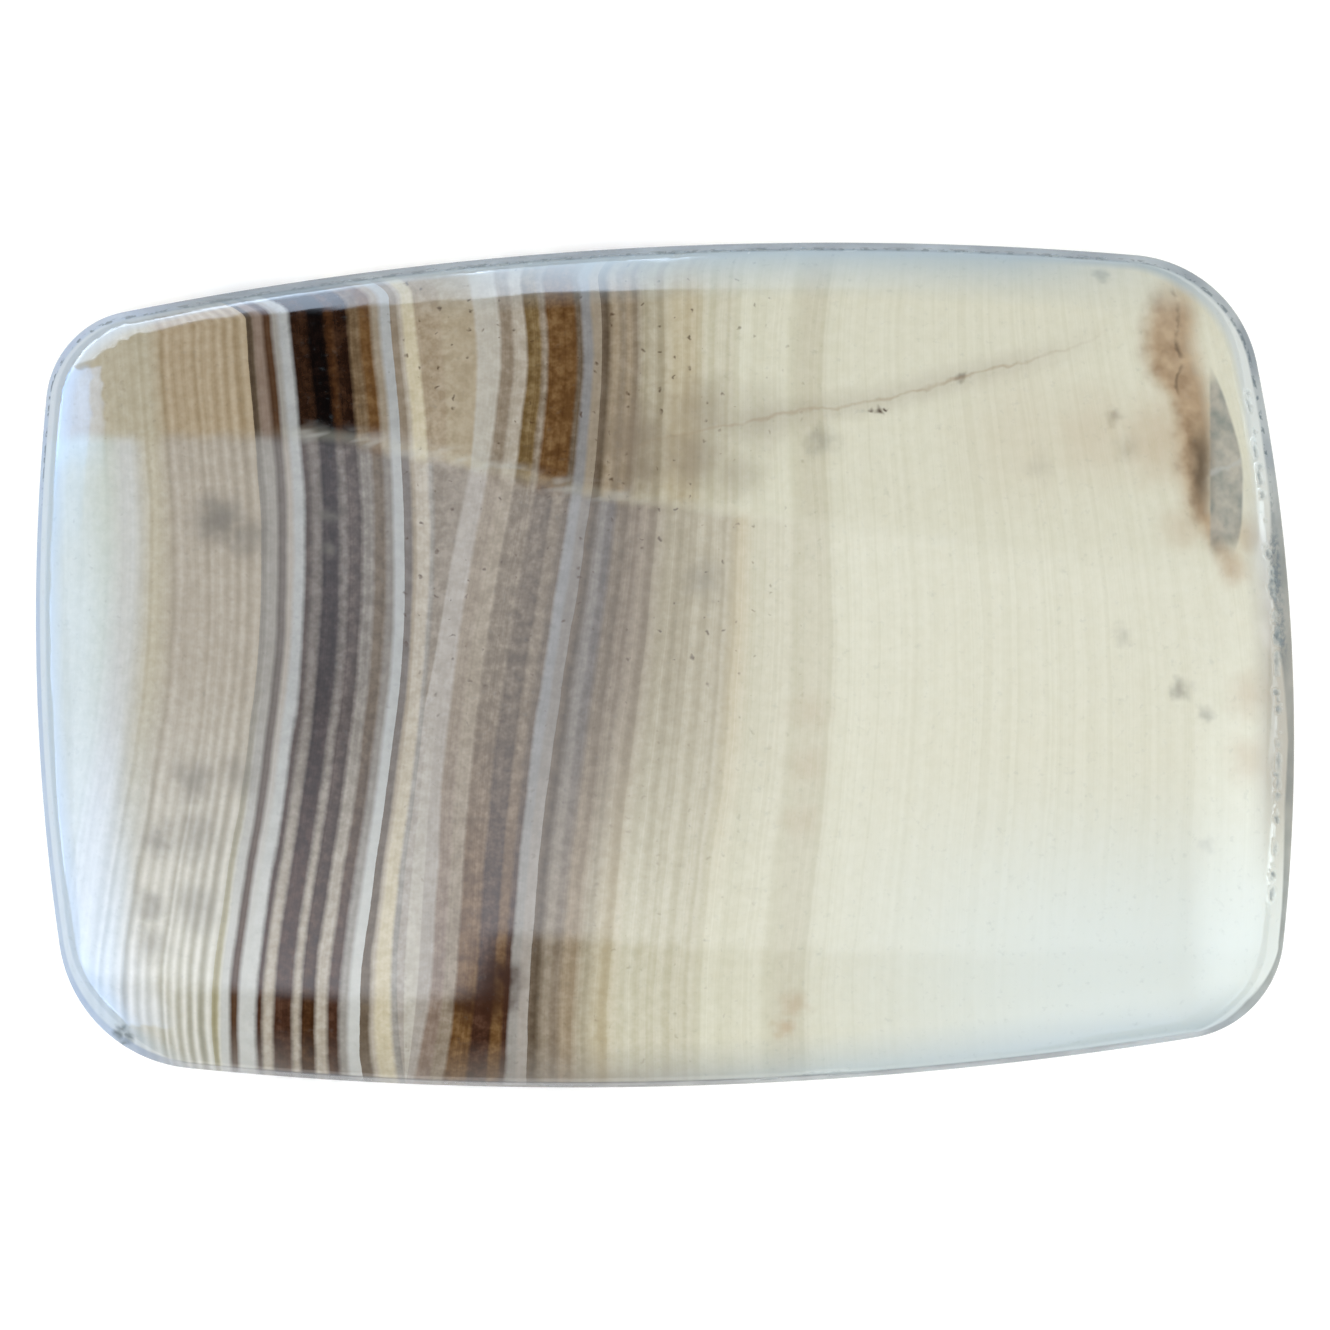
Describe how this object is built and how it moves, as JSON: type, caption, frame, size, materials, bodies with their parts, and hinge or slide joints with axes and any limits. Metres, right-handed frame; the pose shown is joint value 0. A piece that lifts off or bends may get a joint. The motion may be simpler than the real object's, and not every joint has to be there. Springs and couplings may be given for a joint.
{
  "type": "agate cabochon",
  "caption": "Polished agate cabochon with a cushion outline, a low dome, a narrow bevelled edge and a flat back.",
  "frame": {"origin": "middle of the stone's bounding box, on the flat back that it lies on", "axes": "+Z out of the dome, +X along the length towards the end with the rusty mark, +Y across the width"},
  "size_m": [0.042, 0.0282, 0.005],
  "materials": {
    "agate": "high polish, translucent, banded"
  },
  "bodies": {
    "root": {"cabochon": "agate"}
  },
  "joints": []
}
